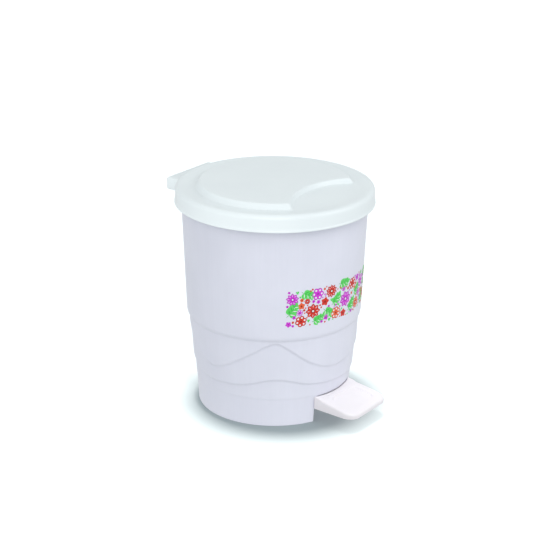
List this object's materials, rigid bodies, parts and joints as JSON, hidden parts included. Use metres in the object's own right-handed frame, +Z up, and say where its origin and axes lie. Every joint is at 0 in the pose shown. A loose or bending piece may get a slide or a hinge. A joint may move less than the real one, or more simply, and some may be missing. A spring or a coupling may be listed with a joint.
{
  "type": "pedal trash can",
  "caption": "Small round pedal bin: tapered body with wave relief, hinged lid, foot pedal, lift rod and lift-out bucket with a wire handle.",
  "frame": {"origin": "centre of the round body on the surface it stands on", "axes": "+Z up along the body's axis, -Y towards the pedal (front), +Y towards the lid hinge (back), +X to the right when looking along +Y"},
  "size_m": [0.2206, 0.257, 0.2576],
  "materials": {
    "body_plastic": "semi-gloss moulded polypropylene, cool white with a faint lavender cast",
    "lid_plastic": "semi-gloss moulded polypropylene, cool white",
    "pedal_plastic": "semi-gloss moulded polypropylene, white",
    "lever_plastic": "satin moulded plastic, white",
    "cover_plastic": "satin moulded plastic, white",
    "bush_plastic": "natural acetal",
    "bucket_plastic": "satin moulded polypropylene, pale grey white",
    "grip_plastic": "semi-gloss moulded plastic, white",
    "bright_steel": "drawn wire, bright zinc plated",
    "zinc_steel": "zinc plated"
  },
  "bodies": {
    "can": {"outer_body": "body_plastic", "left_pedal_bearing": "bush_plastic", "right_pedal_bearing": "bush_plastic", "bearing_screws": "zinc_steel", "lower_rod_bush": "bush_plastic", "upper_rod_bush": "bush_plastic", "rod_cover": "cover_plastic", "hinge_pin": "bright_steel", "hinge_pin_caps": "bush_plastic"},
    "lid": {"lid": "lid_plastic", "lid_lever": "lever_plastic", "lid_lever_screws": "zinc_steel"},
    "rod": {"lift_rod": "bright_steel", "rod_end_caps": "bush_plastic"},
    "pedal": {"pedal": "pedal_plastic", "pedal_pivot_pin": "bright_steel", "pedal_pin_clips": "zinc_steel"},
    "bucket": {"inner_bucket": "bucket_plastic"},
    "handle": {"bucket_bail": "bright_steel", "bail_grip": "grip_plastic"}
  },
  "joints": [
    {"name": "lid_hinge", "type": "hinge", "parent": "can", "child": "lid", "pos_m": [0, 0.1132, 0.2386], "axis": [-1, 0, 0], "range_deg": [0, 65]},
    {"name": "pedal_pivot", "type": "hinge", "parent": "can", "child": "pedal", "pos_m": [0, -0.0447, 0.022], "axis": [1, 0, 0], "range_deg": [0, 9.44]},
    {"name": "rod_slide", "type": "slide", "parent": "can", "child": "rod", "axis": [0, 0.0856, 0.9963], "range_m": [0, 0.0203]},
    {"name": "bucket_lift", "type": "slide", "parent": "can", "child": "bucket", "axis": [0, 0, 1], "range_m": [0, 0.005]},
    {"name": "bail_swing", "type": "hinge", "parent": "bucket", "child": "handle", "pos_m": [0, 0, 0.221], "axis": [-1, 0, 0], "range_deg": [0, 15]}
  ],
  "couplings": [
    {"joint": "pedal_pivot", "follows": "lid_hinge", "ratio": 0.1452},
    {"joint": "rod_slide", "follows": "lid_hinge", "m_per_rad": 0.017893}
  ]
}
